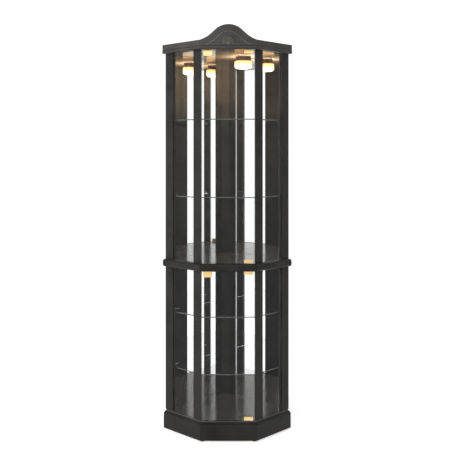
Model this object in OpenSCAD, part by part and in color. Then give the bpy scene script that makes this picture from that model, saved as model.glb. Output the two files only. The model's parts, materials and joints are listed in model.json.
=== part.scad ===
// Tall corner curio cabinet: a five-sided glass case on a plinth, with an arched crown, a belt
// moulding at mid height, two frameless glass doors, side glass, mirrored back walls and glass shelves.
// Millimetres. +Z up, the doors face -Y, the square rear corner points to +Y.
// The origin is the bottom centre of the bounding box.

/* [Plan] */
// Width of the front face, corner to corner
front_w = 264; // [220:1:320]
// Length of each side face, at 45 degrees to the front
side_w = 258; // [210:1:310]
// Width of the doorway between the front stiles
doorway_w = 260; // [215:1:262]

/* [Levels] */
// Height of the glides under the plinth
glide_h = 8; // [3:0.5:10]
// Top of the plinth moulding
plinth_top = 94; // [70:1:130]
// Top of the base deck, where the lower bay starts
base_top = 100; // [96:1:140]
// Underside of the belt moulding
belt_bottom = 830; // [700:1:950]
// Underside of the crown and the ceiling
ceiling_z = 1912; // [1600:1:2200]

/* [Mouldings] */
// Overhang of the plinth beyond the body
plinth_over = 14; // [8:1:20]
// Height of the plinth's sloping top edge
plinth_slope_h = 9; // [4:1:14]
// Flat lip left at the top of the slope
plinth_lip = 1; // [0.5:0.5:4]
// Overhang of the belt beyond the body
belt_over = 20; // [14:1:30]
// Height of the belt
belt_h = 38; // [32:1:48]
// Radius of the belt's rounded edges
belt_r = 13; // [6:1:14]
// Overhang of the crown beyond the body
crown_over = 24; // [18:1:32]
// Height of the crown moulding
crown_h = 45; // [38:1:60]
// Radius of the bead under the crown
crown_bead_r = 9.5; // [6:0.5:11]
// Step from the bead back to the crown's flat face
crown_step = 2; // [1:0.5:4]

/* [Pediment] */
// Rise of the arch above the crown
arch_h = 76; // [65:1:90]
// Radius of the arch's rounded head
arch_r = 95; // [85:1:105]
// Slope of the arch's straight shoulder, in degrees
arch_lean = 42.5; // [40:0.5:46]
// Slope of the arch's hollow foot where it meets the crown's corner, in degrees
arch_foot = 17; // [12:1:20]
// Distance of the arched bead from the arch's edge
arch_bead_in = 32; // [24:1:36]
// Width of the arched bead
arch_bead_w = 5; // [3:0.5:8]
// Height that the arched bead stands out
arch_bead_out = 3; // [2:0.5:5]
// Height that the carving stands out
carving_out = 6; // [4:0.5:8]
// Length of the carving's longest leaf
leaf_l = 44; // [30:1:48]
// Width of a leaf
leaf_w = 13; // [8:1:16]
// Leaves in the carved fan
leaf_count = 7; // [5:2:9]

/* [Boards] */
// Width of each stile
stile_w = 55; // [45:1:70]
// Thickness of each stile
stile_t = 18; // [15:1:24]
// Thickness of the base deck and the ceiling board
deck_t = 18; // [15:1:24]
// Thickness of the two back panels
back_t = 4; // [3:0.5:6]
// Thickness of the rear wing boards
wing_t = 8; // [6:0.5:12]
// Width of the rear wing boards
wing_w = 83; // [65:1:100]
// Half width of the flat cover over the wireway
cover_half = 22; // [16:1:28]
// Thickness of the wireway cover
cover_t = 4; // [3:0.5:6]
// Thickness of the plinth's rear boards
plinth_back_t = 12; // [9:1:18]
// Thickness of the corner blocks that the glides are driven into
block_h = 30; // [20:1:50]
// Reach of the corner blocks
block_r = 46; // [36:1:60]

/* [Glass] */
// Thickness of the door glass
door_t = 5; // [4:0.5:6]
// Depth from the front face to the middle of the door glass
door_depth = 8; // [7:0.5:12]
// Gap at each side of a door
door_side_gap = 3.5; // [3.5:0.5:6]
// Gap above and below a door
door_end_gap = 3; // [2.5:0.5:5]
// Thickness of the side glass
pane_t = 4; // [3:0.5:5]
// Depth that the side glass enters its grooves
groove_depth = 6; // [4:0.5:8]
// Thickness of the mirrors
mirror_t = 4; // [3:0.5:5]
// Thickness of the shelves
shelf_t = 5; // [4:0.5:8]
// Top of the lowest shelf
shelf_z1 = 321; // [250:1:400]
// Top of the second shelf
shelf_z2 = 603; // [500:1:680]
// Top of the third shelf
shelf_z3 = 1191; // [1100:1:1300]
// Top of the highest shelf
shelf_z4 = 1576; // [1450:1:1650]
// Distance from the front face to a shelf's front edge
shelf_setback = 28; // [20:1:60]

/* [Fittings] */
// Radius of the shelf pins
shelf_pin_r = 2.5; // [2:0.25:3]
// Length of a shelf pin outside its hole
shelf_pin_out = 9; // [7:0.5:12]
// Distance from the door glass edge to its pivot
pivot_in = 14.5; // [12:0.5:18]
// Radius of the pivot pins
pivot_r = 2.5; // [2:0.25:3]
// Depth that a pivot pin enters its bush
pivot_depth = 9; // [6:0.5:10]
// Length of a hinge clip
clip_l = 44; // [36:1:52]
// Height of a hinge clip
clip_h = 16; // [12:1:22]
// Thickness of the clip and strike plate metal
clip_t = 1.6; // [1.2:0.1:2]
// Width of a strike plate
strike_w = 43; // [36:1:50]
// Height of a strike plate
strike_h = 28; // [24:1:34]
// Radius of the strike plate's lower corners
strike_r = 7; // [4:0.5:10]
// Radius of a touch-latch plunger
plunger_r = 4; // [3:0.5:4.5]
// Travel of a touch-latch plunger
plunger_travel = 3; // [2:0.5:4]
// Length of a touch-latch body
latch_l = 40; // [34:1:50]
// Width and height of a touch-latch body
latch_w = 16; // [14:1:20]
// Sideways place of the lamp
lamp_x = 87; // [0:1:110]
// Depth of the lamp behind the front face
lamp_y = 268; // [200:1:300]
// Radius of the lamp's metal can
lamp_r = 40; // [34:1:46]
// Height of the lamp's metal can
lamp_can_h = 28; // [20:1:36]
// Height of the lamp's frosted glass
lamp_glass_h = 36; // [28:1:44]
// Radius of the glides
glide_r = 11; // [8:0.5:12]
// Radius of the cord's way through the grommet
cord_r = 4; // [3:0.5:5]
// Radius of the wall screws' holes
wall_screw_r = 2.5; // [2:0.25:3]

/* [Hidden] */
$fn = 48;

PAINT = "#333436";
GLASS = [0.85, 0.92, 0.9, 0.35];
BRASS = "#d9b06c";
NYLON = "#1c1c1d";

s45 = sqrt(1 / 2);
diagonal = sqrt(2);
half_w = front_w / 2;
rear_x = half_w + side_w * s45;
rear_y = side_w * s45;
apex_y = rear_y + rear_x;
wall_l = rear_x * diagonal;
front_y = -(apex_y - crown_over + crown_step - carving_out) / 2;

glide_stem_r = 2.5;
glide_stem_l = 14;
glide_in = 12;
fit_gap = 0.05;
slide_gap = 0.3;
seat_gap = 0.5;

mid_top = belt_bottom + belt_h;
mid_t = belt_h / 2;
crown_top = ceiling_z + crown_h;
top_z = ceiling_z + deck_t;
crown_face = crown_over - crown_step;
crown_face_low = 2 * crown_bead_r - crown_step;

door_half = doorway_w / 2 - door_side_gap;
door_y = front_y + door_depth;
pivot_x = door_half - pivot_in;
bush_r = 4.5;
bush_depth = 12;
bush_flange_r = 7;
bush_flange_t = 0.8;
clip_back = 9;
clip_screw_r = 3.2;
clip_screw_h = 1.4;
strike_in = 4;
strike_x = strike_w / 2 - door_half + strike_in;
strike_t = 1.2;
plunger_show = 3;
latch_y = door_y + door_t / 2 + strike_t + plunger_travel + plunger_show;
latch_drop = strike_h / 2;
plunger_in = 18;
spring_room = 8;

reach = 60;
shelf_side_gap = 3;
shelf_back_gap = 2;
shelf_side_in = stile_t + shelf_side_gap;
shelf_back_in = back_t + wing_t + shelf_back_gap;
cover_y = front_y + apex_y - (back_t + wing_t) * diagonal - cover_half;
shelf_pin_in = 10;
wing_pin_in = 6;
wing_pin_back = 60;
wing_pin_x = wall_l - wing_pin_back;
pin_share = 0.55;
stile_pin_x = stile_w * pin_share;

lamp_wall = 1.6;
lamp_glass_over = 5;
lamp_glass_r = lamp_r + lamp_glass_over;
lamp_glass_wall = 2.5;
lamp_glass_edge = 14;
bulb_r = 8;
bulb_l = 16;
grommet_r = 9;
grommet_flange_r = 12;
grommet_flange_t = 2;
grommet_in = 75;
grommet_y = front_y + apex_y - grommet_in;
leaf_side = 0.72;
leaf_up = 9;
eye_r = 8;
berry_x = 24;
berry_r = 5.5;
bracket_l = 40;
bracket_leg = 28;
bracket_screw_in = 17;
bracket_hole_over = 18;
bracket_hole_h = crown_h - deck_t + bracket_hole_over;
bracket_h = bracket_hole_h + 10;
bracket_t = 2;
bracket_screw_r = 1.75;
bracket_screw_l = 14;
bracket_head_r = 3.6;
bracket_head_h = 2;

// --- plan geometry -------------------------------------------------------------------------------

// Corner between the front and right faces, moved outwards by d
function front_corner(d) = [half_w + d * (diagonal - 1), front_y - d];

// Corner between the right face, moved by d, and the right rear wall, moved by b
function rear_corner(d, b) = [rear_x + (d + b) * s45, front_y + rear_y + (b - d) * s45];

// Rear corner of the two back walls, both moved by b
function apex(b) = [0, front_y + apex_y + b * diagonal];

function flip_x(p) = [-p[0], p[1]];

// Five-sided plan: front and sides moved by d, back walls by b
module outline(d, b) {
    polygon([
        front_corner(d), rear_corner(d, b), apex(b),
        flip_x(rear_corner(d, b)), flip_x(front_corner(d))
    ]);
}

module prism(z0, z1) {
    translate([0, 0, z0])
        linear_extrude(z1 - z0)
            children();
}

// Local frame of the right side face: +X runs back along the face, +Y points into the cabinet
module on_side() {
    translate([half_w, front_y, 0])
        rotate([0, 0, 45])
            children();
}

// Local frame of the right rear wall: +X runs to the rear corner, +Y points into the cabinet
module on_wall() {
    translate([rear_x, front_y + rear_y, 0])
        rotate([0, 0, 135])
            children();
}

module to_left() {
    mirror([1, 0, 0])
        children();
}

// --- moulding runs: a profile of [outwards, height] carried along a face, mitred at the corners --

module swept(length) {
    rotate([90, 0, 90])
        translate([0, 0, -reach])
            linear_extrude(length + 2 * reach)
                mirror([1, 0])
                    children();
}

module front_run(d, z0, z1) {
    intersection() {
        translate([-half_w, front_y, 0])
            swept(front_w)
                children();
        prism(z0 - 1, z1 + 1)
            polygon([
                flip_x(front_corner(0)), front_corner(0), front_corner(d), flip_x(front_corner(d))
            ]);
    }
}

module side_run(d, z0, z1) {
    intersection() {
        on_side()
            swept(side_w)
                children();
        prism(z0 - 1, z1 + 1)
            polygon([front_corner(0), front_corner(d), rear_corner(d, 0), rear_corner(0, 0)]);
    }
}

module plinth_profile() {
    polygon([
        [0, glide_h], [plinth_over, glide_h], [plinth_over, plinth_top - plinth_slope_h],
        [plinth_lip, plinth_top], [0, plinth_top]
    ]);
}

module belt_profile() {
    translate([0, belt_bottom])
        square([belt_over - belt_r, belt_h]);
    translate([belt_over - belt_r, belt_bottom + belt_r])
        square([belt_r, belt_h - 2 * belt_r]);
    for (z = [belt_r, belt_h - belt_r])
        translate([belt_over - belt_r, belt_bottom + z])
            circle(belt_r);
}

module crown_bead_profile() {
    translate([crown_over - crown_bead_r, ceiling_z + crown_bead_r])
        circle(crown_bead_r);
    translate([0, ceiling_z])
        square([crown_over - crown_bead_r, 2 * crown_bead_r]);
}

module crown_profile() {
    crown_bead_profile();
    translate([0, ceiling_z + crown_face_low])
        square([crown_face, crown_h - crown_face_low]);
}

// --- base ----------------------------------------------------------------------------------------

module at_corners(d, b) {
    half = [front_corner(d), rear_corner(d, b)];
    for (p = concat(half, [apex(b)], [for (q = half) flip_x(q)]))
        translate(p)
            children();
}

module glides() color("#55565a") {
    at_corners(-glide_in, -plinth_back_t - glide_in) {
        cylinder(r = glide_r, h = glide_h);
        translate([0, 0, glide_h])
            cylinder(r = glide_stem_r, h = glide_stem_l);
    }
}

module corner_blocks() color("#8a8071") {
    difference() {
        prism(glide_h, glide_h + block_h)
            intersection() {
                outline(0, -plinth_back_t);
                at_corners(0, -plinth_back_t)
                    circle(block_r);
            }
        at_corners(-glide_in, -plinth_back_t - glide_in)
            translate([0, 0, glide_h - 1])
                cylinder(r = glide_stem_r + fit_gap, h = glide_stem_l + 2);
    }
}

module plinth_front() color(PAINT) {
    front_run(plinth_over, glide_h, plinth_top)
        plinth_profile();
}

module plinth_right() color(PAINT) {
    side_run(plinth_over, glide_h, plinth_top)
        plinth_profile();
}

module plinth_left() {
    to_left()
        plinth_right();
}

module plinth_back_right() color(PAINT) {
    prism(glide_h, base_top - deck_t)
        on_wall()
            polygon([
                [0, 0], [wall_l, 0], [wall_l - plinth_back_t, plinth_back_t], [0, plinth_back_t]
            ]);
}

module plinth_back_left() {
    to_left()
        plinth_back_right();
}

// --- decks ---------------------------------------------------------------------------------------

module pivot_hole(z) {
    translate([pivot_x, door_y, z])
        cylinder(r = bush_r + fit_gap, h = bush_depth + 1);
}

module base_deck() color(PAINT) {
    difference() {
        prism(base_top - deck_t, base_top)
            outline(0, -back_t);
        pivot_hole(base_top - bush_depth);
    }
}

// Middle boards are notched round the rear wings, which run past them
module notched_plan() {
    difference() {
        outline(0, -back_t);
        wing_plan();
        to_left()
            wing_plan();
    }
}

module lower_top_board() color(PAINT) {
    difference() {
        prism(belt_bottom, belt_bottom + mid_t)
            notched_plan();
        pivot_hole(belt_bottom - 1);
    }
}

module mid_deck() color(PAINT) {
    difference() {
        prism(mid_top - mid_t, mid_top)
            notched_plan();
        pivot_hole(mid_top - bush_depth);
    }
}

module top_board() color(PAINT) {
    difference() {
        prism(ceiling_z, top_z)
            outline(0, -back_t);
        pivot_hole(ceiling_z - 1);
        translate([0, grommet_y, ceiling_z - 1])
            cylinder(r = grommet_r + fit_gap, h = deck_t + 2);
        at_brackets()
            bracket_screws()
                cylinder(r = bracket_screw_r + fit_gap, h = bracket_screw_l);
    }
}

// --- mouldings -----------------------------------------------------------------------------------

module belt_front() color(PAINT) {
    front_run(belt_over, belt_bottom, mid_top)
        belt_profile();
}

module belt_right() color(PAINT) {
    side_run(belt_over, belt_bottom, mid_top)
        belt_profile();
}

module belt_left() {
    to_left()
        belt_right();
}

module crown_right() color(PAINT) {
    side_run(crown_over, ceiling_z, crown_top)
        crown_profile();
}

module crown_left() {
    to_left()
        crown_right();
}

// The arch is a round head, a straight shoulder and a hollow foot that ends at the crown's corner,
// each tangent to the next. Moving it inwards by k keeps the centres and changes the radii. Heights
// are above the crown's top.
arch_half = front_corner(crown_face)[0];
shoulder = [arch_half - arch_r * sin(arch_lean), arch_h - arch_r * (1 - cos(arch_lean))];
foot_r = (shoulder[0] * sin(arch_lean) - shoulder[1] * cos(arch_lean)) / (1 - cos(arch_lean - arch_foot));
foot = [arch_half + foot_r * sin(arch_foot), foot_r * cos(arch_foot)];

function arc(centre, r, from, to, steps) = [
    for (i = [0:steps])
        centre + r * [cos(from + (to - from) * i / steps), sin(from + (to - from) * i / steps)]
];

module arch(k) {
    head = arc([0, arch_h - arch_r], arch_r - k, 90 - arch_lean, 90 + arch_lean, 32);
    right = arc(foot, foot_r + k, 270 - arch_foot, 270 - arch_lean, 12);
    left = arc(flip_x(foot), foot_r + k, arch_lean - 90, arch_foot - 90, 12);
    polygon(concat([[right[0][0], -crown_h]], right, head, left, [[-right[0][0], -crown_h]]));
}

module crown_front() color(PAINT) {
    front_run(crown_over, ceiling_z, crown_top)
        crown_bead_profile();
    intersection() {
        translate([0, front_y, crown_top])
            rotate([90, 0, 0])
                linear_extrude(crown_face)
                    intersection() {
                        arch(0);
                        translate([-arch_half, crown_face_low - crown_h])
                            square([2 * arch_half, crown_h + arch_h]);
                    }
        prism(ceiling_z, crown_top + arch_h + 1)
            polygon([
                flip_x(front_corner(0)), front_corner(0),
                front_corner(crown_face), flip_x(front_corner(crown_face))
            ]);
    }
}

module on_pediment(depth) {
    translate([0, front_y - crown_face, crown_top])
        rotate([90, 0, 0])
            linear_extrude(depth)
                children();
}

module arch_bead() color(PAINT) {
    on_pediment(arch_bead_out)
        intersection() {
            difference() {
                arch(arch_bead_in);
                arch(arch_bead_in + arch_bead_w);
            }
            translate([-half_w + arch_bead_w, 2 * crown_bead_r - crown_h])
                square([front_w - 2 * arch_bead_w, crown_h + arch_h]);
        }
}

// A pointed leaf along +X, widest at mid length
module leaf(length, width) {
    steps = 12;
    upper = [for (i = [0:steps]) [length * i / steps, width / 2 * sin(180 * i / steps)]];
    lower = [for (i = [steps - 1:-1:1]) [length * i / steps, -width / 2 * sin(180 * i / steps)]];
    polygon(concat(upper, lower));
}

module carving() color(PAINT) {
    step = 180 / (leaf_count + 1);
    translate([0, 0, 2 * crown_bead_r - crown_h + leaf_up])
        on_pediment(carving_out) {
            for (i = [1:leaf_count])
                rotate(step * i)
                    leaf(leaf_l * (leaf_side + (1 - leaf_side) * sin(step * i)), leaf_w);
            circle(eye_r);
            for (side = [-1, 1])
                translate([side * berry_x, 0])
                    circle(berry_r);
        }
}

// --- stiles, panes and back ----------------------------------------------------------------------

module groove() {
    translate([-groove_depth, (stile_t - pane_t) / 2 - seat_gap / 2])
        square([2 * groove_depth, pane_t + seat_gap]);
}

module pin_hole(depth) {
    rotate([-90, 0, 0])
        cylinder(r = shelf_pin_r + fit_gap, h = depth + 1);
}

// Front stile: its doorway edge is square to the front, its other edge holds the side glass
module front_stile(z0, z1, shelves) {
    difference() {
        prism(z0, z1)
            difference() {
                intersection() {
                    on_side()
                        translate([-reach, 0])
                            square([stile_w + reach, stile_t]);
                    translate([doorway_w / 2, front_y])
                        square(side_w);
                }
                on_side()
                    translate([stile_w, 0])
                        groove();
            }
        on_side()
            for (z = shelves)
                translate([stile_pin_x, stile_t - shelf_pin_in, z - shelf_t - shelf_pin_r])
                    pin_hole(shelf_pin_in);
    }
}

module rear_stile(z0, z1, shelves) {
    on_side()
        difference() {
            prism(z0, z1)
                difference() {
                    translate([side_w - stile_w, 0])
                        square([stile_w, stile_t]);
                    translate([side_w - stile_w, 0])
                        groove();
                }
            for (z = shelves)
                translate([side_w - stile_pin_x, stile_t - shelf_pin_in, z - shelf_t - shelf_pin_r])
                    pin_hole(shelf_pin_in);
        }
}

lower_shelves = [shelf_z1, shelf_z2];
upper_shelves = [shelf_z3, shelf_z4];

module lower_front_stile_right() color(PAINT) {
    front_stile(base_top, belt_bottom, lower_shelves);
}

module lower_front_stile_left() {
    to_left()
        lower_front_stile_right();
}

module lower_rear_stile_right() color(PAINT) {
    rear_stile(base_top, belt_bottom, lower_shelves);
}

module lower_rear_stile_left() {
    to_left()
        lower_rear_stile_right();
}

module upper_front_stile_right() color(PAINT) {
    front_stile(mid_top, ceiling_z, upper_shelves);
}

module upper_front_stile_left() {
    to_left()
        upper_front_stile_right();
}

module upper_rear_stile_right() color(PAINT) {
    rear_stile(mid_top, ceiling_z, upper_shelves);
}

module upper_rear_stile_left() {
    to_left()
        upper_rear_stile_right();
}

module pane(z0, z1) {
    entry = groove_depth - seat_gap;
    on_side()
        translate([stile_w - entry, (stile_t - pane_t) / 2, z0])
            cube([side_w - 2 * stile_w + 2 * entry, pane_t, z1 - z0 - seat_gap]);
}

module lower_pane_right() color(GLASS) {
    pane(base_top, belt_bottom);
}

module lower_pane_left() {
    to_left()
        lower_pane_right();
}

module upper_pane_right() color(GLASS) {
    pane(mid_top, ceiling_z);
}

module upper_pane_left() {
    to_left()
        upper_pane_right();
}

module back_panel_right() color("#4a4540") {
    prism(base_top - deck_t, top_z)
        on_wall()
            polygon([[stile_t, 0], [wall_l, 0], [wall_l - back_t, back_t], [stile_t, back_t]]);
}

module back_panel_left() {
    to_left()
        back_panel_right();
}

module mirror_sheet(z0, z1) {
    on_wall()
        translate([stile_t + seat_gap, back_t, z0])
            cube([wall_l - wing_w - stile_t - 2 * seat_gap, mirror_t, z1 - z0 - seat_gap]);
}

module lower_mirror_right() color("#c8ccd0") {
    mirror_sheet(base_top, belt_bottom);
}

module lower_mirror_left() {
    to_left()
        lower_mirror_right();
}

module upper_mirror_right() color("#c8ccd0") {
    mirror_sheet(mid_top, ceiling_z);
}

module upper_mirror_left() {
    to_left()
        upper_mirror_right();
}

module wing_plan() {
    face = back_t + wing_t;
    on_wall()
        polygon([
            [wall_l - wing_w, back_t], [wall_l - back_t, back_t],
            [wall_l - face, face], [wall_l - wing_w, face]
        ]);
}

module rear_wing_right() color(PAINT) {
    difference() {
        prism(base_top, ceiling_z)
            wing_plan();
        on_wall()
            for (z = concat(lower_shelves, upper_shelves))
                translate([wing_pin_x, back_t + wing_t - wing_pin_in, z - shelf_t - shelf_pin_r])
                    pin_hole(wing_pin_in);
    }
}

module rear_wing_left() {
    to_left()
        rear_wing_right();
}

module cover_plan() {
    inner = cover_half - cover_t;
    translate([0, cover_y])
        polygon([[-cover_half, 0], [cover_half, 0], [inner, cover_t], [-inner, cover_t]]);
}

module wire_covers() color(PAINT) {
    prism(base_top, belt_bottom)
        cover_plan();
    prism(mid_top, ceiling_z)
        cover_plan();
}

// --- shelves -------------------------------------------------------------------------------------

module shelf(z) {
    front = front_y + shelf_setback;
    prism(z - shelf_t, z)
        intersection() {
            outline(-shelf_side_in, -shelf_back_in);
            translate([-rear_x, front])
                square([2 * rear_x, cover_y - shelf_back_gap - front]);
        }
}

module shelf_1() color(GLASS) {
    shelf(shelf_z1);
}

module shelf_2() color(GLASS) {
    shelf(shelf_z2);
}

module shelf_3() color(GLASS) {
    shelf(shelf_z3);
}

module shelf_4() color(GLASS) {
    shelf(shelf_z4);
}

module shelf_pin(depth) {
    rotate([-90, 0, 0])
        cylinder(r = shelf_pin_r, h = depth + shelf_pin_out);
}

module right_pins(z) {
    on_side()
        for (x = [stile_pin_x, side_w - stile_pin_x])
            translate([x, stile_t - shelf_pin_in + fit_gap, z])
                shelf_pin(shelf_pin_in);
    on_wall()
        translate([wing_pin_x, back_t + wing_t - wing_pin_in + fit_gap, z])
            shelf_pin(wing_pin_in);
}

module shelf_pins() color("#b9bcc0") {
    for (z = concat(lower_shelves, upper_shelves)) {
        right_pins(z - shelf_t - shelf_pin_r);
        to_left()
            right_pins(z - shelf_t - shelf_pin_r);
    }
}

// --- doors ---------------------------------------------------------------------------------------

lower_door = [base_top + door_end_gap, belt_bottom - door_end_gap];
upper_door = [mid_top + door_end_gap, ceiling_z - door_end_gap];

module door_glass(span) {
    translate([-door_half, door_y - door_t / 2, span[0]])
        cube([2 * door_half, door_t, span[1] - span[0]]);
}

module lower_door_glass() color(GLASS) {
    door_glass(lower_door);
}

module upper_door_glass() color(GLASS) {
    door_glass(upper_door);
}

// Hinge clip standing on z = 0 under the glass edge, with its pivot pin and two clamp screws
module hinge_clip() {
    left = pivot_x + clip_back - clip_l;
    outer = door_t / 2 + fit_gap + clip_t;
    translate([left, door_y - outer, -clip_t])
        cube([clip_l, 2 * outer, clip_t]);
    for (y = [door_y - outer, door_y + outer - clip_t])
        translate([left, y, -clip_t])
            cube([clip_l, clip_t, clip_h]);
    for (x = [0.25, 0.75])
        translate([left + clip_l * x, door_y + outer, clip_h / 2])
            rotate([-90, 0, 0])
                cylinder(r = clip_screw_r, h = clip_screw_h);
    translate([pivot_x, door_y, -door_end_gap - pivot_depth])
        cylinder(r = pivot_r, h = door_end_gap + pivot_depth - clip_t / 2);
}

module clip_pair(span) {
    translate([0, 0, span[0]])
        hinge_clip();
    translate([0, 0, span[1]])
        mirror([0, 0, 1])
            hinge_clip();
}

module lower_hinge_clips() color(BRASS) {
    clip_pair(lower_door);
}

module upper_hinge_clips() color(BRASS) {
    clip_pair(upper_door);
}

// Flanged bush, its flange resting on z = 0 and its sleeve below
module bush() {
    translate([pivot_x, door_y, 0])
        difference() {
            union() {
                cylinder(r = bush_flange_r, h = bush_flange_t);
                translate([0, 0, -bush_depth])
                    cylinder(r = bush_r, h = bush_depth);
            }
            translate([0, 0, 1 - bush_depth])
                cylinder(r = pivot_r + fit_gap, h = bush_depth + bush_flange_t);
        }
}

module hinge_bushes() color("#c9a25e") {
    for (z = [base_top, mid_top])
        translate([0, 0, z])
            bush();
    for (z = [belt_bottom, ceiling_z])
        translate([0, 0, z])
            mirror([0, 0, 1])
                bush();
}

module strike_outline() {
    translate([-strike_w / 2, -strike_h + strike_r])
        square([strike_w, strike_h - strike_r]);
    translate([-strike_w / 2 + strike_r, -strike_h])
        square([strike_w - 2 * strike_r, strike_r]);
    for (side = [-1, 1])
        translate([side * (strike_w / 2 - strike_r), -strike_h + strike_r])
            circle(strike_r);
}

// Strike plate folded over the top edge of the door glass
module strike_plate(top) {
    outer = door_t / 2 + fit_gap + strike_t;
    for (y = [door_y - outer + strike_t, door_y + outer])
        translate([strike_x, y, top + strike_t])
            rotate([90, 0, 0])
                linear_extrude(strike_t)
                    strike_outline();
    translate([strike_x - strike_w / 2, door_y - outer, top])
        cube([strike_w, 2 * outer, strike_t]);
}

module lower_strike_plate() color(BRASS) {
    strike_plate(lower_door[1]);
}

module upper_strike_plate() color(BRASS) {
    strike_plate(upper_door[1]);
}

// Touch-latch body under a board whose underside is at z, bored for its plunger
module latch_body(z) {
    difference() {
        translate([strike_x - latch_w / 2, latch_y, z - latch_drop - latch_w / 2])
            cube([latch_w, latch_l, latch_drop + latch_w / 2]);
        translate([strike_x, latch_y - 1, z - latch_drop])
            rotate([-90, 0, 0])
                cylinder(r = plunger_r + slide_gap, h = plunger_in + spring_room + 1);
    }
}

module latch_bodies() color(NYLON) {
    for (z = [belt_bottom, ceiling_z])
        latch_body(z);
}

module plunger(z) {
    tip = door_y + door_t / 2 + strike_t + slide_gap + fit_gap;
    translate([strike_x, tip, z - latch_drop])
        rotate([-90, 0, 0])
            cylinder(r = plunger_r, h = latch_y - tip + plunger_in);
}

module lower_plunger() color("#8b8d90") {
    plunger(belt_bottom);
}

module upper_plunger() color("#8b8d90") {
    plunger(ceiling_z);
}

// --- lamp, cord way and wall brackets ------------------------------------------------------------

module at_lamp() {
    translate([lamp_x, front_y + lamp_y, ceiling_z - lamp_can_h])
        children();
}

module lamp_can() color("#3d352c") {
    at_lamp()
        difference() {
            cylinder(r = lamp_r, h = lamp_can_h);
            translate([0, 0, -1])
                cylinder(r = lamp_r - lamp_wall, h = lamp_can_h - lamp_wall);
        }
}

// Half section of the frosted bowl: flat bottom, rounded lower edge, open top
module lamp_bowl(r, h, edge) {
    translate([0, -h])
        square([r - edge, h]);
    translate([0, -h + edge])
        square([r, h - edge]);
    translate([r - edge, -h + edge])
        circle(edge);
}

module lamp_glass() color([1, 0.95, 0.8, 0.8]) {
    inner_r = lamp_glass_r - lamp_glass_wall;
    at_lamp()
        rotate_extrude()
            difference() {
                lamp_bowl(lamp_glass_r, lamp_glass_h, lamp_glass_edge);
                translate([0, 1])
                    lamp_bowl(
                        inner_r, lamp_glass_h - lamp_glass_wall + 1, lamp_glass_edge - lamp_glass_wall
                    );
            }
}

module lamp_bulb() color([1, 0.95, 0.8]) {
    at_lamp() {
        translate([0, 0, -bulb_l / 2])
            cylinder(r = bulb_r, h = lamp_can_h - lamp_wall - 1 + bulb_l / 2);
        translate([0, 0, -bulb_l / 2])
            sphere(r = bulb_r);
    }
}

module cord_grommet() color(NYLON) {
    translate([0, grommet_y, ceiling_z])
        difference() {
            union() {
                cylinder(r = grommet_r, h = deck_t);
                translate([0, 0, deck_t])
                    cylinder(r = grommet_flange_r, h = grommet_flange_t);
            }
            translate([0, 0, -1])
                cylinder(r = cord_r, h = deck_t + grommet_flange_t + 2);
        }
}

module at_brackets() {
    for (side = [0, 1])
        mirror([side, 0, 0])
            on_wall()
                translate([wall_l / 2, 0, top_z])
                    children();
}

module bracket_screws() {
    for (x = [-bracket_l / 4, bracket_l / 4])
        translate([x, bracket_screw_in, bracket_t - bracket_screw_l])
            children();
}

module wall_brackets() color("#b9bcc0") {
    at_brackets() {
        difference() {
            translate([-bracket_l / 2, 0, 0])
                cube([bracket_l, bracket_leg, bracket_t]);
            bracket_screws()
                cylinder(r = bracket_screw_r + fit_gap, h = bracket_screw_l + 1);
        }
        difference() {
            translate([-bracket_l / 2, 0, 0])
                cube([bracket_l, bracket_t, bracket_h]);
            translate([0, -1, bracket_hole_h])
                rotate([-90, 0, 0])
                    cylinder(r = wall_screw_r, h = bracket_t + 2);
        }
        bracket_screws() {
            cylinder(r = bracket_screw_r, h = bracket_screw_l);
            translate([0, 0, bracket_screw_l])
                cylinder(r = bracket_head_r, h = bracket_head_h);
        }
    }
}

glides();
corner_blocks();
plinth_front();
plinth_left();
plinth_right();
plinth_back_left();
plinth_back_right();
base_deck();
lower_front_stile_left();
lower_front_stile_right();
lower_rear_stile_left();
lower_rear_stile_right();
upper_front_stile_left();
upper_front_stile_right();
upper_rear_stile_left();
upper_rear_stile_right();
lower_top_board();
mid_deck();
belt_front();
belt_left();
belt_right();
top_board();
crown_front();
crown_left();
crown_right();
arch_bead();
carving();
lower_pane_left();
lower_pane_right();
upper_pane_left();
upper_pane_right();
back_panel_left();
back_panel_right();
lower_mirror_left();
lower_mirror_right();
upper_mirror_left();
upper_mirror_right();
rear_wing_left();
rear_wing_right();
wire_covers();
shelf_1();
shelf_2();
shelf_3();
shelf_4();
shelf_pins();
lower_door_glass();
upper_door_glass();
lower_hinge_clips();
upper_hinge_clips();
hinge_bushes();
lower_strike_plate();
upper_strike_plate();
latch_bodies();
lower_plunger();
upper_plunger();
lamp_can();
lamp_glass();
lamp_bulb();
cord_grommet();
wall_brackets();
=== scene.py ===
# %% [markdown]
# A tall corner curio cabinet: black lacquered boards, frameless glass doors on brass clips, mirrored
# back walls, glass shelves and one warm lamp under the ceiling. The boards, joints and sizes come from
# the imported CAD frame. This lesson eases the edges of every piece, shapes the carving and the lamp's
# trim ring from primitives, and gives each surface a finish made of nodes.

import json
import math

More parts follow.
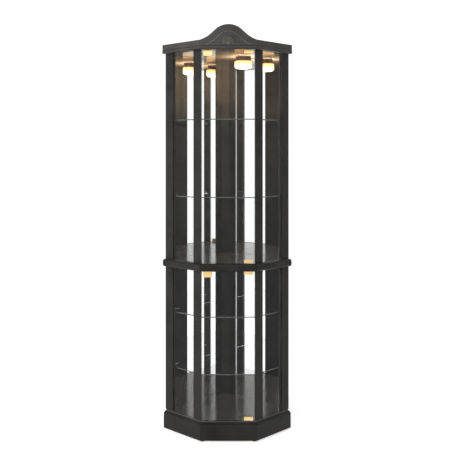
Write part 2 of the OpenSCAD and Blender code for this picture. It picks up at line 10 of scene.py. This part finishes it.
import bpy
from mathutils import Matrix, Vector


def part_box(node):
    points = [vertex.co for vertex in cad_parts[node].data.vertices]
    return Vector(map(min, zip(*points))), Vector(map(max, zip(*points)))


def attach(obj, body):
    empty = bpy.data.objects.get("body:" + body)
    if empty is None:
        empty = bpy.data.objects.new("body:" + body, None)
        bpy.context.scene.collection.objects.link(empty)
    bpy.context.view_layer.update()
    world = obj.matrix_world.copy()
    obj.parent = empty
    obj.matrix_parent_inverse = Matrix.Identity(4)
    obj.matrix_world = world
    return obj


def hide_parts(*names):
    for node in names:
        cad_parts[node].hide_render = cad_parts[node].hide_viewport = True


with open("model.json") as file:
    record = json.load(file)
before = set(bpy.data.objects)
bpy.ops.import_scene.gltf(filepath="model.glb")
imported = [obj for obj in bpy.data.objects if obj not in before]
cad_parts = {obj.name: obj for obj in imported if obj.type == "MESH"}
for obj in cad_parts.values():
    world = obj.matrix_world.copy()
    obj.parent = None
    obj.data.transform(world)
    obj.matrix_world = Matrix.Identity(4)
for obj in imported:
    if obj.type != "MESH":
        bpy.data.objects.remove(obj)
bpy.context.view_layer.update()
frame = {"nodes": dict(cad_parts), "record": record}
MM = 0.001

# %% [markdown]
# The camera stands a little to the left of the middle, at eye height, and looks level along +Y, so
# that upright edges stay upright. Tilting it down would also bring the whole cabinet into the picture,
# but it would draw the sides together. The lens shift does it without that, as in a view camera.

# %% Camera
front_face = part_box("lower_front_stile_right")[0].y
eye_from_middle = -133 * MM
eye_distance = 3774 * MM
eye_height = 1402 * MM
camera_data = bpy.data.cameras.new("camera")
camera = bpy.data.objects.new("camera", camera_data)
bpy.context.scene.collection.objects.link(camera)
bpy.context.scene.camera = camera
eye = Vector((eye_from_middle, front_face - eye_distance, eye_height))
camera.location = eye
camera.rotation_euler = (math.radians(90), 0, 0)
camera_data.sensor_width = 36
camera_data.lens = 60.57
camera_data.shift_x = 0.0628
camera_data.shift_y = -0.165
print("camera at", tuple(round(v, 3) for v in eye))

# %% [markdown]
# A few small helpers serve every finish below. Paint is easiest to name by its screen colour, but the
# shaders work in linear light, so one function turns the first into the second. Patterns are named by
# the size of their marks in millimetres. The last helper adds a node, sets its values and links its
# inputs in one go, so that each finish reads as a short recipe.

# %% Helpers for colours, patterns and nodes
def linear(hex_colour):
    """An sRGB hex colour such as "#333436" as the linear values that shaders take."""
    parts = [int(hex_colour[i:i + 2], 16) / 255 for i in (1, 3, 5)]
    return [p / 12.92 if p <= 0.04045 else ((p + 0.055) / 1.055) ** 2.4 for p in parts] + [1.0]


def marks(size_mm):
    """The scale of a pattern in object coordinates whose marks are size_mm across."""
    return 1 / (size_mm * MM)


def new_material(name):
    material = bpy.data.materials.new(name)
    material.use_nodes = True
    material.node_tree.nodes.clear()
    return material, material.node_tree


def add(tree, kind, settings=None, **links):
    """Adds one node. settings holds its values, by attribute, input name or input number. links feed its
    inputs, by name, or by number as _0, _1 and so on."""
    node = tree.nodes.new(kind)
    for key, value in (settings or {}).items():
        if isinstance(key, str) and hasattr(node, key):
            setattr(node, key, value)
        else:
            node.inputs[key].default_value = value
    for key, socket in links.items():
        where = int(key[1:]) if key[0] == "_" else key.replace("_", " ")
        tree.links.new(socket, node.inputs[where])
    return node


print("a mid grey in linear light", round(linear("#808080")[0], 3))

# %% [markdown]
# The cabinet stands in a plain white room. Real walls would work, but an even white sky is quicker and
# has no corners that the mirrors could show. Matt surfaces get less of it than the eye does, so that the
# black boards stay black while the glass and the mirrors show a clean white.

# %% White room
white_for_matt = 0.40
white_for_eye = 1.12
world = bpy.data.worlds.new("white_room")
bpy.context.scene.world = world
world.use_nodes = True
sky = world.node_tree
sky.nodes.clear()
path = add(sky, "ShaderNodeLightPath")
fill = add(sky, "ShaderNodeBackground", {"Color": linear("#ffffff"), "Strength": white_for_matt})
seen = add(sky, "ShaderNodeBackground", {"Color": linear("#ffffff"), "Strength": white_for_eye})
either = add(sky, "ShaderNodeMixShader", _0=path.outputs["Is Diffuse Ray"], _1=seen.outputs[0],
             _2=fill.outputs[0])
add(sky, "ShaderNodeOutputWorld", Surface=either.outputs[0])
bpy.context.scene.view_settings.view_transform = "Standard"
print("white room", white_for_matt, "for matt surfaces and", white_for_eye, "for the eye")

# %% [markdown]
# Two large soft boxes give the case its modelling: a tall one lifts the left faces, and a high one in
# front lights the crown and the tops of the mouldings. Small lamps would draw hard shadows instead.

# %% Soft lights
def soft_light(name, place, aim, size, power):
    data = bpy.data.lights.new(name, "AREA")
    data.shape = "RECTANGLE"
    data.size, data.size_y = size
    data.energy = power
    lamp = bpy.data.objects.new(name, data)
    bpy.context.scene.collection.objects.link(lamp)
    lamp.location = place
    lamp.rotation_euler = (Vector(aim) - Vector(place)).to_track_quat("-Z", "Y").to_euler()
    lamp.visible_camera = False
    print(name, "of", power, "W at", place)


soft_light("left_softbox", place=(-3.2, -1.2, 1.6), aim=(0, 0, 1.1), size=(1.6, 2.8), power=45)
soft_light("high_softbox", place=(-1.2, -3.4, 3.4), aim=(0, -0.2, 1.7), size=(2.4, 1.4), power=75)

# %% [markdown]
# The floor is one wide plane, pale enough to melt into the white behind it. It shines a little by itself,
# because a studio floor gets more light than the two soft boxes give it here.

# %% Floor
floor_across = 40
floor_shine = 0.62
# The tone drifts only slowly, from one patch to the next. With nothing linked to it, the pattern is
# measured against the width of the floor.
patch_mm = 13333


def deselect_all():
    for thing in list(bpy.context.selected_objects):
        thing.select_set(False)


deselect_all()
bpy.ops.mesh.primitive_plane_add(size=floor_across, location=(0, 0, 0))
floor = bpy.context.object
floor.name = "floor"
# Matt white floor: rolled emulsion paint. The eye gets no edge between the floor and the white behind it.
floor_paint, tree = new_material("matt_white_floor")
drift = add(tree, "ShaderNodeTexNoise", {"Scale": floor_across / (patch_mm * MM), "Detail": 2.0})
tone = add(tree, "ShaderNodeValToRGB", Fac=drift.outputs["Fac"])
tone.color_ramp.elements[0].color = linear("#f4f4f4")
tone.color_ramp.elements[1].color = linear("#fbfbfb")
finish = add(tree, "ShaderNodeBsdfPrincipled",
             {"Roughness": 0.9, "Emission Color": linear("#ffffff"), "Emission Strength": floor_shine},
             Base_Color=tone.outputs["Color"])
add(tree, "ShaderNodeOutputMaterial", Surface=finish.outputs[0])
floor.data.materials.append(floor_paint)
print("floor", floor_across, "m across")

# %% [markdown]
# Every board of the case is sprayed with black lacquer over fine-grained board. The spray leaves a faint
# orange peel, the grain telegraphs through, and the sheen wanders a little. A flat black would be
# simpler, but the eye would read ink; with the three small changes it reads paint. One recipe serves all
# the lacquers, which differ in how far each one is rubbed and polished. The crown's lacquer is also
# coloured paler, as painted light from above, and so is that of the bead and the carving, as a painted
# highlight.

# %% Black lacquer
cloud_mm = 111.11
grain_in_clouds = 0.35
# Real grain is about 0.3 mm wide and real orange peel about 1 mm. Both are drawn coarser, so that they
# show from near by. From the camera's place they only soften the sheen.
grain_mm = 1.4
grain_stretch = 20
peel_mm = 2.2


def lacquer(name, dark, light, rough_low, rough_high, specular, bump):
    """Sprayed lacquer: colour clouds, upright wood grain that telegraphs through, and orange peel."""
    material, tree = new_material(name)
    place = add(tree, "ShaderNodeTexCoord")
    upright = add(tree, "ShaderNodeMapping", {"Scale": (1, 1, 1 / grain_stretch)},
                  Vector=place.outputs["Object"])
    grain = add(tree, "ShaderNodeTexNoise", {"Scale": marks(grain_mm), "Detail": 3.0, "Roughness": 0.6},
                Vector=upright.outputs[0])
    clouds = add(tree, "ShaderNodeTexNoise", {"Scale": marks(cloud_mm), "Detail": 3.0},
                 Vector=place.outputs["Object"])
    mixed = add(tree, "ShaderNodeMath",
                {"operation": "MULTIPLY_ADD", "use_clamp": True, 1: grain_in_clouds},
                _0=grain.outputs["Fac"], _2=clouds.outputs["Fac"])
    tone = add(tree, "ShaderNodeValToRGB", Fac=mixed.outputs[0])
    tone.color_ramp.elements[0].position = 0.45
    tone.color_ramp.elements[0].color = linear(dark)
    tone.color_ramp.elements[1].position = 0.85
    tone.color_ramp.elements[1].color = linear(light)
    sheen = add(tree, "ShaderNodeMapRange",
                {"From Min": 0.35, "From Max": 0.65, "To Min": rough_low, "To Max": rough_high},
                Value=clouds.outputs["Fac"])
    peel = add(tree, "ShaderNodeTexNoise", {"Scale": marks(peel_mm), "Detail": 1.0},
               Vector=place.outputs["Object"])
    height = add(tree, "ShaderNodeMath", {"operation": "ADD"}, _0=peel.outputs["Fac"],
                 _1=grain.outputs["Fac"])
    relief = add(tree, "ShaderNodeBump", {"Strength": bump, "Distance": 0.1 * MM},
                 Height=height.outputs[0])
    finish = add(tree, "ShaderNodeBsdfPrincipled", {"Specular IOR Level": specular},
                 Base_Color=tone.outputs["Color"], Roughness=sheen.outputs[0], Normal=relief.outputs[0])
    add(tree, "ShaderNodeOutputMaterial", Surface=finish.outputs[0])
    print("lacquer", name, dark, light)
    return material


# Charcoal lacquer: sprayed satin black, flatted between coats. The eye gets a soft, even dark grey whose
# sheen drifts slightly from place to place.
frame_lacquer = lacquer("charcoal_lacquer", "#171615", "#272624", 0.36, 0.50, 0.12, bump=0.04)
# Crown lacquer: one more coat, rubbed to a fuller satin, and coloured paler than the case as painted light
# from above. The eye gets a slightly brighter band at the top, where the case is widest.
crown_lacquer = lacquer("satin_crown_lacquer_painted_light", "#201e1d", "#363432", 0.32, 0.46, 0.26, bump=0.04)
# Highlight lacquer: the same paint on the bead and the carving, glossier than the board and coloured paler
# all over, as a painted highlight. The eye gets a paler, livelier line against the board.
painted_highlight_lacquer = lacquer("painted_highlight_lacquer", "#34322f", "#504d49", 0.28, 0.38, 0.4, bump=0.05)
# Polished lacquer: cut and buffed on the level boards. The eye gets a dim, soft image of the glass above.
deck_lacquer = lacquer("polished_lacquer", "#36322e", "#46423d", 0.13, 0.20, 0.28, bump=0.01)

# %% [markdown]
# A sawn and painted board never has a knife edge: the arris is sanded before spraying, and that small
# round catches a thin line of light. A board could be drawn again from a cube, but its outline with all
# its notches is already in the CAD. So each one is a copy of its CAD node with its corners merged, its
# flat faces joined up, and a bevel modifier run along its edges.

# %% Pieces with eased edges
def start_edit(thing, everything=True):
    deselect_all()
    thing.select_set(True)
    bpy.context.view_layer.objects.active = thing
    bpy.ops.object.mode_set(mode="EDIT")
    bpy.ops.mesh.select_mode(type="VERT")
    if everything:
        bpy.ops.mesh.select_all(action="SELECT")


def end_edit():
    bpy.ops.object.mode_set(mode="OBJECT")


def body_of(node):
    return next(b for b, members in frame["record"]["behaviour"]["bodies"].items() if node in members)


def slot_of(node):
    return next(s["material_slot"] for s in frame["record"]["subparts"] if s["node"] == node)


def eased(node, ending, material, edge_mm, steps=2):
    """A copy of a CAD node, named node_ending, with its sharp edges rounded in so many steps. With one
    step it is a plain chamfer, and the faces are shaded flat."""
    deselect_all()
    piece = frame["nodes"][node].copy()
    piece.data = frame["nodes"][node].data.copy()
    for key in list(piece.keys()):
        del piece[key]
    piece.name = node + "_" + ending
    piece.parent = None
    bpy.context.scene.collection.objects.link(piece)
    start_edit(piece)
    bpy.ops.mesh.remove_doubles(threshold=0.01 * MM)
    bpy.ops.mesh.dissolve_limited(angle_limit=math.radians(0.5))
    end_edit()
    bpy.ops.object.shade_smooth_by_angle(angle=math.radians(30))
    rounding = piece.modifiers.new("eased_edges", "BEVEL")
    rounding.width = edge_mm * MM
    rounding.segments = steps
    rounding.limit_method = "ANGLE"
    rounding.angle_limit = math.radians(35)
    rounding.use_clamp_overlap = True
    rounding.harden_normals = True
    bpy.ops.object.modifier_apply(modifier=rounding.name)
    if steps == 1:
        bpy.ops.object.shade_flat()
    piece.data.materials.clear()
    piece.data.materials.append(material)
    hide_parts(node)
    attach(piece, body_of(node))
    return piece


print("finish slots", sorted({slot_of(node) for node in frame["nodes"]}))

# %% [markdown]
# The crown's edges are rounded most, because its mouldings are run on a spindle. The other boards of the
# case are only sanded. The level boards are polished flat, and rounded shading would draw false clouds
# on them, so they get a plain chamfer and flat faces.

# %% Boards of the case
frame_boards = [node for node in frame["nodes"] if slot_of(node) == "frame_paint"
                and node not in ("arch_bead", "carving")]
level_boards = ("base_deck", "lower_top_board", "mid_deck", "top_board")
for node in frame_boards:
    if node.startswith("crown"):
        eased(node, "board", crown_lacquer, 2.2)
    else:
        eased(node, "board", frame_lacquer, 1.2)
for node in level_boards:
    eased(node, "board", deck_lacquer, 0.8, steps=1)
print("eased", len(frame_boards) + len(level_boards), "boards")

# %% [markdown]
# Float glass is clear through its faces and dark green through its ground edges, where the light
# travels the long way. True refracting glass would be slow and grainy with mirrors behind it. These
# sheets are thin, so their faces let light straight through and mirror a little of the room, more at a
# slant, and their edges have a nearly solid material of their own.

# %% Clear glass and ground edges
edge_streak_mm = 16.667


def clear_glass(name, tint, mirror_gain, ignored_share=0.0, painted_reflection_glow=0.0):
    """Straight-through glass with a sharp mirror share at a slant. Square on, where it would mirror only
    an even white room, ignored_share drops that share and a faint even white glow on the front faces,
    a painted reflection, stands in for it."""
    material, tree = new_material(name)
    slant = add(tree, "ShaderNodeFresnel", {"IOR": 1.5})
    back = add(tree, "ShaderNodeNewGeometry")
    front_only = add(tree, "ShaderNodeMath", {"operation": "SUBTRACT", 0: 1.0},
                     _1=back.outputs["Backfacing"])
    share = add(tree, "ShaderNodeMath", {"operation": "MULTIPLY"}, _0=slant.outputs[0],
                _1=front_only.outputs[0])
    kept = add(tree, "ShaderNodeMath", {"operation": "SUBTRACT", "use_clamp": True, 1: ignored_share},
               _0=share.outputs[0])
    gain = add(tree, "ShaderNodeMath", {"operation": "MULTIPLY", "use_clamp": True, 1: mirror_gain},
               _0=kept.outputs[0])
    through = add(tree, "ShaderNodeBsdfTransparent", {"Color": linear(tint)})
    shine = add(tree, "ShaderNodeBsdfAnisotropic", {"Roughness": 0.0, "Color": linear("#ffffff")})
    both = add(tree, "ShaderNodeMixShader", _0=gain.outputs[0], _1=through.outputs[0],
               _2=shine.outputs[0])
    # A faint white glow on the front faces only: a painted reflection of the white room.
    painted_glow_strength = add(tree, "ShaderNodeMath", {"operation": "MULTIPLY", 1: painted_reflection_glow}, _0=front_only.outputs[0])
    room = add(tree, "ShaderNodeEmission", {"Color": linear("#ffffff")}, Strength=painted_glow_strength.outputs[0])
    whole = add(tree, "ShaderNodeAddShader", _0=both.outputs[0], _1=room.outputs[0])
    add(tree, "ShaderNodeOutputMaterial", Surface=whole.outputs[0])
    print("glass", name, "mirror gain", mirror_gain)
    return material


def ground_edge(name, deep, pale):
    material, tree = new_material(name)
    place = add(tree, "ShaderNodeTexCoord")
    streaks = add(tree, "ShaderNodeTexNoise", {"Scale": marks(edge_streak_mm), "Detail": 4.0},
                  Vector=place.outputs["Object"])
    tone = add(tree, "ShaderNodeValToRGB", Fac=streaks.outputs["Fac"])
    tone.color_ramp.elements[0].color = linear(deep)
    tone.color_ramp.elements[1].color = linear(pale)
    finish = add(tree, "ShaderNodeBsdfPrincipled", {"Roughness": 0.25, "IOR": 1.5},
                 Base_Color=tone.outputs["Color"])
    add(tree, "ShaderNodeOutputMaterial", Surface=finish.outputs[0])
    return material


# Clear float glass: floated on tin, so it is flat and nearly free of colour. The eye gets only a breath of
# reflection over what stands behind, part of it a faint painted reflection glowing on the front faces.
pane_glass = clear_glass("clear_float_glass", "#fefefe", 0.6, ignored_share=0.075, painted_reflection_glow=0.02)
# Polished shelf glass: the same sheet lying flat and seen at a slant. The eye gets a bright, silvery top.
shelf_glass = clear_glass("polished_shelf_glass", "#f9fbfa", 3.2)
# Ground glass edge: cut, then ground on a wheel. The eye gets a dark grey-green line with soft streaks.
glass_edge = ground_edge("ground_glass_edge", "#2c3331", "#48514e")

# %% [markdown]
# The back walls are float glass, silvered and painted behind. A long thin mirror in a case always leans
# a little on its clips, and the lean moves everything it shows. The sheets could be turned in the CAD,
# but that would open gaps along their edges, so the lean is in the tilt of the surface: a bump that
# rises evenly towards the corner.

# %% Silvered mirrors
mirror_ripple_mm = 250


def mirror_glass(name, lean_degrees, towards_corner):
    material, tree = new_material(name)
    place = add(tree, "ShaderNodeTexCoord")
    ripple = add(tree, "ShaderNodeTexNoise", {"Scale": marks(mirror_ripple_mm), "Detail": 1.0},
                 Vector=place.outputs["Object"])
    tone = add(tree, "ShaderNodeValToRGB", Fac=ripple.outputs["Fac"])
    tone.color_ramp.elements[0].color = linear("#fafbfa")
    tone.color_ramp.elements[1].color = linear("#fdfefe")
    across = add(tree, "ShaderNodeVectorMath", {"operation": "DOT_PRODUCT", 1: towards_corner},
                 _0=place.outputs["Object"])
    rise = add(tree, "ShaderNodeMath", {"operation": "MULTIPLY", 1: math.tan(math.radians(lean_degrees))},
               _0=across.outputs["Value"])
    lean = add(tree, "ShaderNodeBump", {"Strength": 1.0, "Distance": 1.0}, Height=rise.outputs[0])
    finish = add(tree, "ShaderNodeBsdfPrincipled", {"Metallic": 1.0, "Roughness": 0.0},
                 Base_Color=tone.outputs["Color"], Normal=lean.outputs[0])
    add(tree, "ShaderNodeOutputMaterial", Surface=finish.outputs[0])
    print("mirror", name, "leans", lean_degrees, "degrees")
    return material


# Silvered mirror: float glass with a coat of silver behind. The eye gets upright strips of case and room.
half = math.sqrt(0.5)
silvered = {
    "left": mirror_glass("silvered_mirror_left", 2.5, (half, half, 0)),
    "right": mirror_glass("silvered_mirror_right", 0.5, (-half, half, 0)),
}

# %% [markdown]
# Each sheet is its CAD node with a fine chamfer, the seam that a glazier grinds so that nobody is cut.
# The two broad faces take the clear or the silvered finish, and the rest takes the ground one. A shelf's
# rear edges lie close to the mirrors and are left clear, so that no dark line shows there.

# %% Sheets of glass
def sheet_of_glass(node, faces):
    piece = eased(node, "sheet", faces, 0.5, steps=1)
    piece.data.materials.append(glass_edge)
    by_area = sorted(piece.data.polygons, key=lambda face: face.area, reverse=True)
    broad = [face.index for face in by_area[:2]]
    for face in piece.data.polygons:
        hidden_edge = node.startswith("shelf") and face.normal.y > 0.1
        face.material_index = 0 if face.index in broad or hidden_edge else 1


clear_sheets = [node for node in frame["nodes"] if slot_of(node) == "clear_glass"]
mirror_sheets = [node for node in frame["nodes"] if slot_of(node) == "mirror"]
for node in clear_sheets:
    sheet_of_glass(node, shelf_glass if node.startswith("shelf") else pane_glass)
for node in mirror_sheets:
    sheet_of_glass(node, silvered[node.split("_")[-1]])
print("sheets of clear glass", len(clear_sheets), "and of mirror", len(mirror_sheets))

# %% [markdown]
# The clips and strike plates are satin brass: rolled sheet, lightly brushed along its length and
# lacquered. Colour comes from the metal itself, so metallic is full and the brushing is in the
# roughness and a fine bump. The same recipe in greys gives the plated steel.

# %% Brass and small metal
# Real brush lines are about 0.1 mm apart. They are drawn wider, so that they show from near by.
brush_mm = 0.6
brush_stretch = 25


def brushed_metal(name, dark, light, rough_low, rough_high):
    material, tree = new_material(name)
    place = add(tree, "ShaderNodeTexCoord")
    along = add(tree, "ShaderNodeMapping", {"Scale": (1 / brush_stretch, 1, 1)},
                Vector=place.outputs["Object"])
    brush = add(tree, "ShaderNodeTexNoise", {"Scale": marks(brush_mm), "Detail": 2.0},
                Vector=along.outputs[0])
    tone = add(tree, "ShaderNodeValToRGB", Fac=brush.outputs["Fac"])
    tone.color_ramp.elements[0].color = linear(dark)
    tone.color_ramp.elements[1].color = linear(light)
    sheen = add(tree, "ShaderNodeMapRange", {"To Min": rough_low, "To Max": rough_high},
                Value=brush.outputs["Fac"])
    relief = add(tree, "ShaderNodeBump", {"Strength": 0.2, "Distance": 0.05 * MM},
                 Height=brush.outputs["Fac"])
    finish = add(tree, "ShaderNodeBsdfPrincipled", {"Metallic": 1.0}, Base_Color=tone.outputs["Color"],
                 Roughness=sheen.outputs[0], Normal=relief.outputs[0])
    add(tree, "ShaderNodeOutputMaterial", Surface=finish.outputs[0])
    print("metal", name, dark, light)
    return material


# Satin brass: rolled, brushed and lacquered. The eye gets a soft yellow metal with drawn-out highlights.
satin_brass = brushed_metal("satin_brass", "#cdab6c", "#f0d5a0", 0.22, 0.34)
# Bright zinc: plated steel from the barrel. The eye gets a cool, slightly cloudy grey.
zinc_steel = brushed_metal("bright_zinc", "#9a9da1", "#c3c6c9", 0.25, 0.4)
# Black zinc: the same plating dyed dark. The eye hardly sees the pins under the glass.
black_zinc = brushed_metal("black_zinc", "#2a2b2d", "#3f4042", 0.3, 0.45)
for node in ("lower_hinge_clips", "upper_hinge_clips", "lower_strike_plate", "upper_strike_plate"):
    eased(node, "brass", satin_brass, 0.35)
eased("hinge_bushes", "turned", satin_brass, 0.2)
for node in ("wall_brackets", "lower_plunger", "upper_plunger"):
    eased(node, "steel", zinc_steel, 0.3)
eased("shelf_pins", "steel", black_zinc, 0.3)

# %% [markdown]
# What isn't meant to be looked at is plain: nylon glides and latch bodies, a rubber grommet, stained
# hardboard behind the mirrors and softwood blocks under the base. One recipe serves them all, a fine
# speckle in the colour and in the relief, because each is pressed, moulded or sawn and then left alone.

# %% Plastics, back board and blocks
speckle_mm = 1.42857


def moulded(name, dark, light, rough):
    material, tree = new_material(name)
    place = add(tree, "ShaderNodeTexCoord")
    speckle = add(tree, "ShaderNodeTexNoise", {"Scale": marks(speckle_mm), "Detail": 2.0},
                  Vector=place.outputs["Object"])
    tone = add(tree, "ShaderNodeValToRGB", Fac=speckle.outputs["Fac"])
    tone.color_ramp.elements[0].color = linear(dark)
    tone.color_ramp.elements[1].color = linear(light)
    relief = add(tree, "ShaderNodeBump", {"Strength": 0.25, "Distance": 0.1 * MM},
                 Height=speckle.outputs["Fac"])
    finish = add(tree, "ShaderNodeBsdfPrincipled", {"Roughness": rough}, Base_Color=tone.outputs["Color"],
                 Normal=relief.outputs[0])
    add(tree, "ShaderNodeOutputMaterial", Surface=finish.outputs[0])
    print("plain finish", name, dark, light)
    return material


# Black nylon: injection moulded against a spark-eroded tool. The eye gets a dull, even black.
black_nylon = moulded("black_nylon", "#161616", "#232323", 0.5)
# Black rubber: pressed hot and dusted. The eye gets the deepest, driest black.
black_rubber = moulded("black_rubber", "#141414", "#1f1f1f", 0.7)
# Stained hardboard: wood fibre pressed to a sheet and stained brown-black. The eye gets a dry, fibrous back.
stained_board = moulded("stained_hardboard", "#2c2620", "#3d352d", 0.6)
# Bare softwood: sawn from pine and left raw. The eye gets a pale, fuzzy block.
bare_softwood = moulded("bare_softwood", "#a98c62", "#c9ab7e", 0.7)
for node, material, edge_mm in (
    ("glides", black_nylon, 0.8), ("latch_bodies", black_nylon, 0.8), ("cord_grommet", black_rubber, 0.6),
    ("back_panel_left", stained_board, 0.3), ("back_panel_right", stained_board, 0.3),
    ("corner_blocks", bare_softwood, 0.6),
):
    eased(node, "part", material, edge_mm)

# %% [markdown]
# The lamp is a small ceiling can with a frosted glass bowl. The bulb sits in the middle, so the bowl is
# nearly white low down and turns amber towards the metal. Light could be sent through real frosted glass,
# but that is slow and grainy, so the bowl shines by itself.

# %% Lamp can, bowl and bulb
lamp_low, lamp_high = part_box("lamp_glass")
lamp_axis = ((lamp_low.x + lamp_high.x) / 2, (lamp_low.y + lamp_high.y) / 2)
white_zone = 10 * MM
# Real frosting is far finer. It is drawn at 2.5 mm, so that it shows from near by.
frost_mm = 2.5


def glowing(name, rim, core, strength):
    """Frosted glass lit from inside: amber at the metal, nearly white near the bulb."""
    material, tree = new_material(name)
    place = add(tree, "ShaderNodeTexCoord")
    frost = add(tree, "ShaderNodeTexNoise", {"Scale": marks(frost_mm), "Detail": 2.0},
                Vector=place.outputs["Object"])
    split = add(tree, "ShaderNodeSeparateXYZ", Vector=place.outputs["Object"])
    depth = add(tree, "ShaderNodeMapRange", {"From Min": lamp_high.z, "From Max": lamp_low.z + white_zone},
                Value=split.outputs["Z"])
    tone = add(tree, "ShaderNodeValToRGB", Fac=depth.outputs[0])
    tone.color_ramp.elements[0].color = linear(rim)
    tone.color_ramp.elements[1].color = linear(core)
    relief = add(tree, "ShaderNodeBump", {"Strength": 0.2, "Distance": 0.1 * MM},
                 Height=frost.outputs["Fac"])
    finish = add(tree, "ShaderNodeBsdfPrincipled", {"Roughness": 0.45, "Emission Strength": strength},
                 Base_Color=tone.outputs["Color"], Emission_Color=tone.outputs["Color"],
                 Normal=relief.outputs[0])
    add(tree, "ShaderNodeOutputMaterial", Surface=finish.outputs[0])
    return material


# Frosted lit glass: blown, then etched inside. The eye gets one soft white glow with an amber shoulder.
frosted_lit = glowing("frosted_lit_glass", "#eeae5c", "#fff3d6", 1.25)
# Bronze enamel: dipped and baked on the lamp's can. The eye gets a dark brown gloss.
bronze_enamel = lacquer("bronze_enamel", "#2c231a", "#413527", 0.3, 0.4, 0.5, bump=0.12)
eased("lamp_can", "enamelled", bronze_enamel, 0.6)
eased("lamp_glass", "bowl", frosted_lit, 0.4)
eased("lamp_bulb", "frosted", frosted_lit, 0.2)
print("lamp on the ceiling at", lamp_axis)

# %% [markdown]
# A rolled brass ring hides the joint between the bowl and the can. It is a torus, pressed a little flat,
# as the ring is when it is rolled.

# %% Lamp trim ring
ring_wire = 2.4 * MM
ring_inset = 2.5 * MM
ring_centre = (*lamp_axis, lamp_high.z + ring_wire)
deselect_all()
bpy.ops.mesh.primitive_torus_add(
    major_segments=64, minor_segments=12, major_radius=lamp_high.x - lamp_axis[0] - ring_inset,
    minor_radius=ring_wire, location=ring_centre)
trim_ring = bpy.context.object
trim_ring.name = "lamp_trim_ring"
start_edit(trim_ring)
bpy.ops.transform.resize(value=(1, 1, 0.8), center_override=ring_centre)
end_edit()
bpy.ops.object.shade_smooth()
bpy.ops.object.transform_apply(location=True, rotation=True, scale=True)
trim_ring.data.materials.append(satin_brass)
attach(trim_ring, "cabinet")
print("trim ring", [round(v, 4) for v in trim_ring.dimensions])

# %% [markdown]
# A small warm light in the bowl lights the ceiling and the post, because a light is quicker and less
# grainy than a shining mesh. The lamp's own pieces throw no shadow, so that they don't shut it in.

# %% Lamp light
glow_data = bpy.data.lights.new("lamp_glow", "POINT")
glow_data.energy = 14.0
glow_data.color = linear("#ffdcb0")[:3]
glow_data.shadow_soft_size = 12 * MM
glow = bpy.data.objects.new("lamp_glow", glow_data)
bpy.context.scene.collection.objects.link(glow)
glow.location = (*lamp_axis, lamp_low.z + 5 * MM)
glow.visible_camera = False
glow.visible_glossy = False
for name in ("lamp_glass_bowl", "lamp_can_enamelled", "lamp_bulb_frosted", "lamp_trim_ring"):
    bpy.data.objects[name].visible_shadow = False
print("lamp light of", glow_data.energy, "W")

# %% [markdown]
# The pediment carries a half-round bead that follows the arch. It could be swept along a curve, but the
# CAD strip already follows the arch, so its edges are only rounded until they nearly meet.

# %% Arched bead
bead = eased("arch_bead", "moulding", painted_highlight_lacquer, 2.2, steps=4)
print("bead", [round(v, 4) for v in bead.dimensions])

# %% [markdown]
# Under the bead sits a small carved fan. Carving is rounded everywhere, so a ball is a better start than
# a block. Each leaf is a ball drawn out long and flat, with its middle pressed in for the vein, and cut
# off flush at the board. It is cut while it is a single closed shell, so that the cut closes cleanly.

# %% One boss of the carving
fan_low, fan_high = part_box("carving")
fan_centre = Vector(((fan_low.x + fan_high.x) / 2, fan_high.y, fan_low.z + 8 * MM))
fan_depth = fan_high.y - fan_low.y
vein_half_share = 0.08


def boss(name, long, wide, deep, out, angle, vein=0.0):
    """A flattened ball lying on the board: long along its own axis, out from the fan's centre."""
    deselect_all()
    bpy.ops.mesh.primitive_uv_sphere_add(segments=20, ring_count=12, radius=1, location=(0, 0, 0))
    piece = bpy.context.object
    piece.name = name
    start_edit(piece)
    bpy.ops.transform.resize(value=(long / 2, deep, wide / 2))
    if vein:
        bpy.ops.mesh.select_all(action="DESELECT")
        end_edit()
        for point in piece.data.vertices:
            point.select = abs(point.co.z) < wide * vein_half_share and point.co.y < 0
        start_edit(piece, everything=False)
        bpy.ops.transform.translate(value=(0, vein, 0))
    end_edit()
    piece.rotation_euler = (0, -angle, 0)
    piece.location = fan_centre + Vector((math.cos(angle) * out, 0, math.sin(angle) * out))
    bpy.ops.object.transform_apply(location=True, rotation=True, scale=True)
    start_edit(piece)
    bpy.ops.mesh.bisect(plane_co=fan_centre, plane_no=(0, 1, 0), use_fill=True, clear_outer=True)
    bpy.ops.mesh.select_all(action="SELECT")
    bpy.ops.mesh.normals_make_consistent(inside=False)
    end_edit()
    return piece


print("fan centre", tuple(round(v, 4) for v in fan_centre), "depth", round(fan_depth, 4))

# %% [markdown]
# Seven leaves spread out from a round eye, the upright ones longest, with a berry on each side. The
# pieces are then joined into one carving.

# %% Carved fan of leaves
leaves = 7
leaf_long = 44 * MM
leaf_wide = 13 * MM
vein_deep = 2.2 * MM
eye_across = 16 * MM
berry_across = 11 * MM
berry_out = 24 * MM
parts = []
for i in range(1, leaves + 1):
    turn = math.pi * i / (leaves + 1)
    length = leaf_long * (0.72 + 0.28 * math.sin(turn))
    parts.append(boss("leaf_%d" % i, length, leaf_wide, fan_depth * 0.9, length / 2, turn, vein=vein_deep))
parts.append(boss("eye", eye_across, eye_across, fan_depth * 0.98, 0, 0))
for turn in (0, math.pi):
    parts.append(boss("berry", berry_across, berry_across, fan_depth * 0.8, berry_out, turn))
deselect_all()
for part in parts:
    part.select_set(True)
shell = parts[0]
bpy.context.view_layer.objects.active = shell
bpy.ops.object.join()
shell.name = "carved_leaf_fan"
bpy.ops.object.shade_smooth_by_angle(angle=math.radians(40))
shell.data.materials.append(painted_highlight_lacquer)
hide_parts("carving")
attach(shell, "cabinet")
print("carved fan", [round(v, 4) for v in shell.dimensions])
